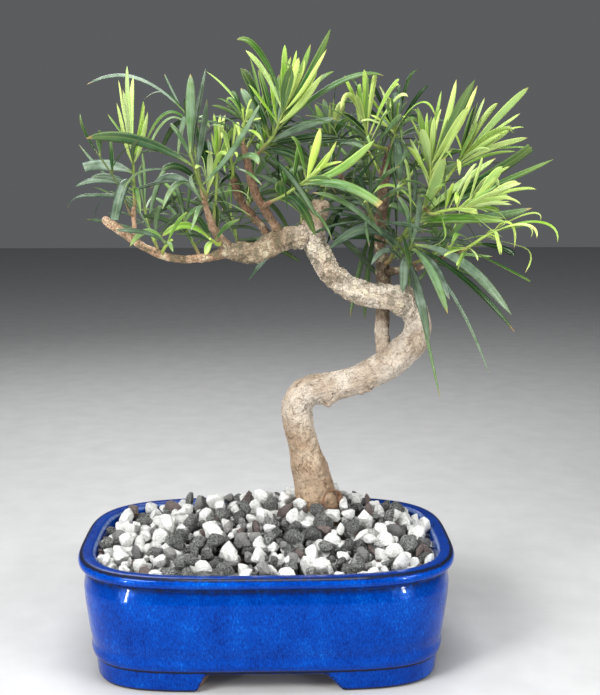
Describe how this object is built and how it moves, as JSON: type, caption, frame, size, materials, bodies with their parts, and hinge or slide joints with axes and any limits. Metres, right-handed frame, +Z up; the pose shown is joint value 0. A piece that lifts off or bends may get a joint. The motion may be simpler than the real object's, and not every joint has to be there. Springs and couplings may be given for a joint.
{
  "type": "potted bonsai tree",
  "caption": "Small buddhist pine bonsai with a winding trunk and sprays of narrow leaves, in a glazed oblong pot with cut corner feet, topped with mixed gravel.",
  "frame": {"origin": "bottom centre of the whole object's box, on the ground under the pot's feet", "axes": "+Z up along the height, +Y from the front of the pot to its back, +X along the pot towards the leafy side seen on the right"},
  "size_m": [0.2728, 0.173, 0.3466],
  "materials": {
    "glaze": "gloss",
    "screen": "matte",
    "gravel": "matte",
    "bark": "matte",
    "leaf_0": "satin",
    "leaf_1": "satin",
    "leaf_2": "satin",
    "leaf_3": "satin",
    "leaf_4": "satin"
  },
  "bodies": {
    "root": {"pot": "glaze", "drain_screen_left": "screen", "drain_screen_right": "screen", "gravel": "gravel", "trunk": "bark", "shoot_left_tip": "leaf_2", "shoot_left_low": "leaf_2", "shoot_left_crown": "leaf_1", "shoot_left_front": "leaf_1", "shoot_left_young": "leaf_4", "shoot_left_lime": "leaf_2", "shoot_left_curl": "leaf_3", "shoot_mid": "leaf_3", "shoot_apex": "leaf_2", "shoot_fore": "leaf_3", "shoot_centre": "leaf_3", "shoot_crown": "leaf_1", "shoot_inner": "leaf_2", "shoot_right": "leaf_2", "shoot_right_up": "leaf_3", "shoot_right_fan": "leaf_3", "shoot_right_side": "leaf_4", "shoot_right_low": "leaf_3", "shoot_droop": "leaf_0", "shoot_hang_left": "leaf_2", "shoot_hang_fore": "leaf_2", "shoot_back_tip": "leaf_2", "shoot_back_left": "leaf_2", "shoot_back_limb": "leaf_2", "shoot_back_twig": "leaf_2", "shoot_back_fork": "leaf_1", "shoot_back_stub": "leaf_1", "shoot_back_low": "leaf_1", "shoot_back_mid": "leaf_2", "shoot_back_right": "leaf_2", "shoot_back_crown": "leaf_3", "shoot_back_fan": "leaf_2", "shoot_front_mid": "leaf_0", "shoot_back_apex": "leaf_2"}
  },
  "joints": []
}
